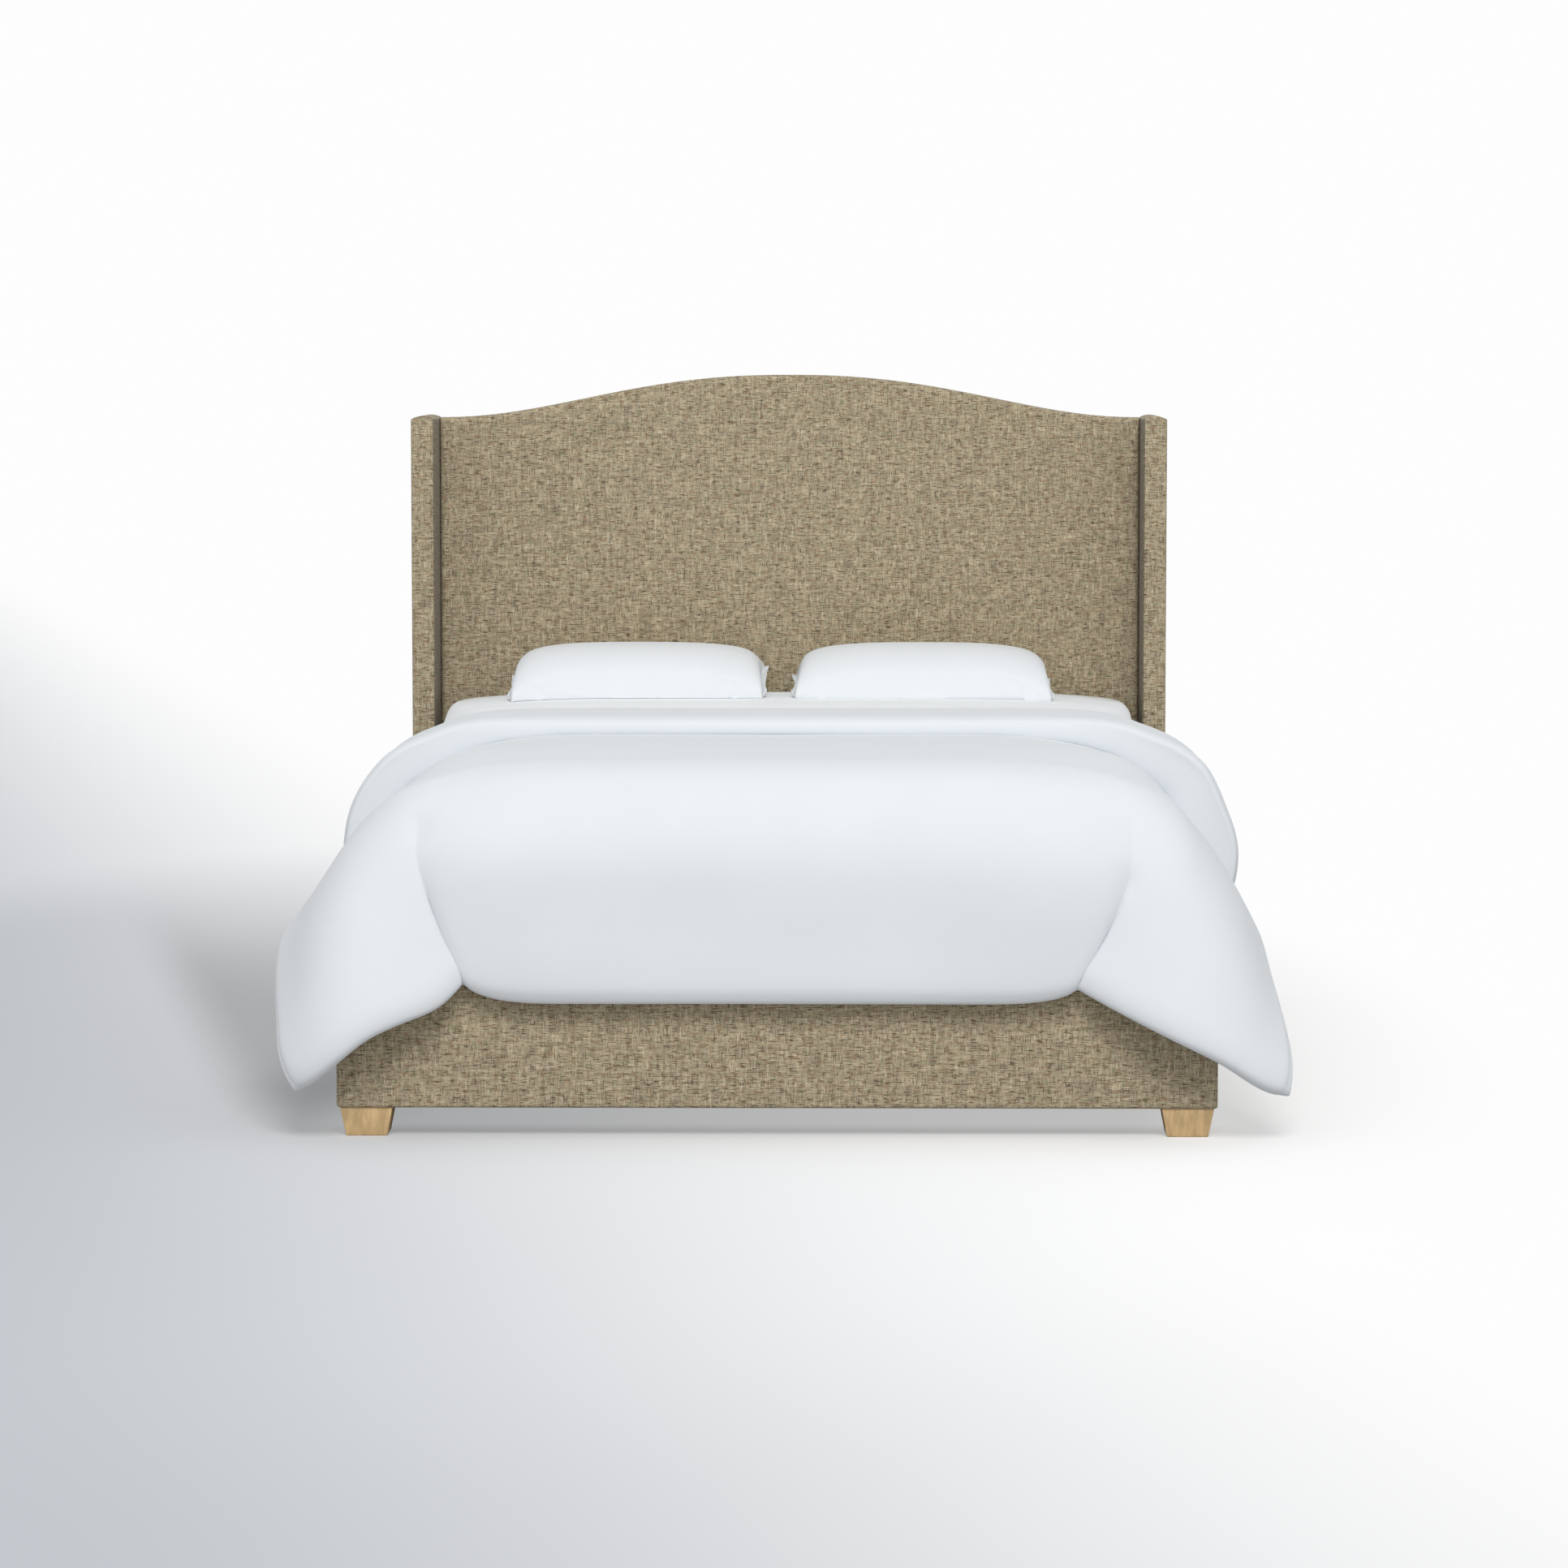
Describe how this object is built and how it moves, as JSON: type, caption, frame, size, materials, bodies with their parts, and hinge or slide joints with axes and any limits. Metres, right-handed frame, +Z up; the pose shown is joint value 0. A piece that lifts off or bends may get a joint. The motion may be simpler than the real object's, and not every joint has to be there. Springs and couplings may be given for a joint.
{
  "type": "upholstered wingback bed",
  "caption": "Upholstered bed with a camel-back headboard, side wings, block legs and slats, made up with mattress, duvet and pillows.",
  "frame": {"origin": "on the floor under the middle of the whole bed's bounding box", "axes": "+Z up, +Y from the foot end to the headboard, +X to the right seen from the foot end"},
  "size_m": [1.8802, 2.3085, 1.404],
  "materials": {
    "upholstery": "matte",
    "leg_wood": "satin",
    "timber": "matte",
    "plywood": "matte",
    "foam": "matte",
    "steel": "satin",
    "black_cloth": "matte",
    "linen": "matte",
    "ticking": "matte",
    "pad_plastic": "matte"
  },
  "bodies": {
    "bed_frame": {"headboard_post_left": "timber", "headboard_post_right": "timber", "headboard_cross_low": "timber", "headboard_cross_mid": "timber", "headboard_cross_top": "timber", "headboard_panel": "plywood", "headboard_foam": "foam", "headboard_cover": "upholstery", "headboard_back_cloth": "black_cloth", "wing_board_left": "plywood", "wing_board_right": "plywood", "wing_foam_left": "foam", "wing_foam_right": "foam", "wing_cover_left": "upholstery", "wing_cover_right": "upholstery", "wing_bolts": "steel", "side_rail_board_left": "timber", "side_rail_board_right": "timber", "side_rail_cover_left": "upholstery", "side_rail_cover_right": "upholstery", "footboard_board": "timber", "footboard_cover": "upholstery", "ledger_left": "timber", "ledger_right": "timber", "slats": "timber", "slat_straps": "black_cloth", "slat_screws": "steel", "centre_beam": "timber", "beam_hanger_foot": "steel", "beam_hanger_head": "steel", "centre_leg_foot": "timber", "centre_leg_mid": "timber", "centre_leg_head": "timber", "leveller_nuts": "steel", "bracket_foot_left": "steel", "bracket_foot_right": "steel", "bracket_head_left": "steel", "bracket_head_right": "steel", "bracket_bolts": "steel", "leg_front_left": "leg_wood", "leg_front_right": "leg_wood", "leg_rear_left": "leg_wood", "leg_rear_right": "leg_wood", "leg_bolts": "steel"},
    "leveller_foot": {"leveller_foot": "pad_plastic"},
    "leveller_mid": {"leveller_mid": "pad_plastic"},
    "leveller_head": {"leveller_head": "pad_plastic"},
    "foundation": {"foundation_base": "timber", "foundation_pad": "foam", "foundation_cover": "ticking"},
    "mattress": {"mattress": "linen", "fitted_sheet": "linen"},
    "duvet": {"duvet": "linen"},
    "pillow_left": {"pillow_left": "linen", "pillowcase_left": "linen"},
    "pillow_right": {"pillow_right": "linen", "pillowcase_right": "linen"}
  },
  "joints": [
    {"name": "leveller_foot_turn", "type": "hinge", "parent": "bed_frame", "child": "leveller_foot", "pos_m": [0, -0.4985, 0.01], "axis": [0, 0, 1], "continuous": true},
    {"name": "leveller_mid_turn", "type": "hinge", "parent": "bed_frame", "child": "leveller_mid", "pos_m": [0, 0.0165, 0.01], "axis": [0, 0, 1], "continuous": true},
    {"name": "leveller_head_turn", "type": "hinge", "parent": "bed_frame", "child": "leveller_head", "pos_m": [0, 0.5315, 0.01], "axis": [0, 0, 1], "continuous": true},
    {"name": "foundation_lift", "type": "slide", "parent": "bed_frame", "child": "foundation", "axis": [0, 0, 1], "range_m": [0, 0.3]},
    {"name": "mattress_lift", "type": "slide", "parent": "foundation", "child": "mattress", "axis": [0, 0, 1], "range_m": [0, 0.5]},
    {"name": "duvet_lift", "type": "slide", "parent": "mattress", "child": "duvet", "axis": [0, 0, 1], "range_m": [0, 0.75]},
    {"name": "pillow_left_lift", "type": "slide", "parent": "mattress", "child": "pillow_left", "axis": [0, 0, 1], "range_m": [0, 0.5]},
    {"name": "pillow_right_lift", "type": "slide", "parent": "mattress", "child": "pillow_right", "axis": [0, 0, 1], "range_m": [0, 0.5]}
  ]
}
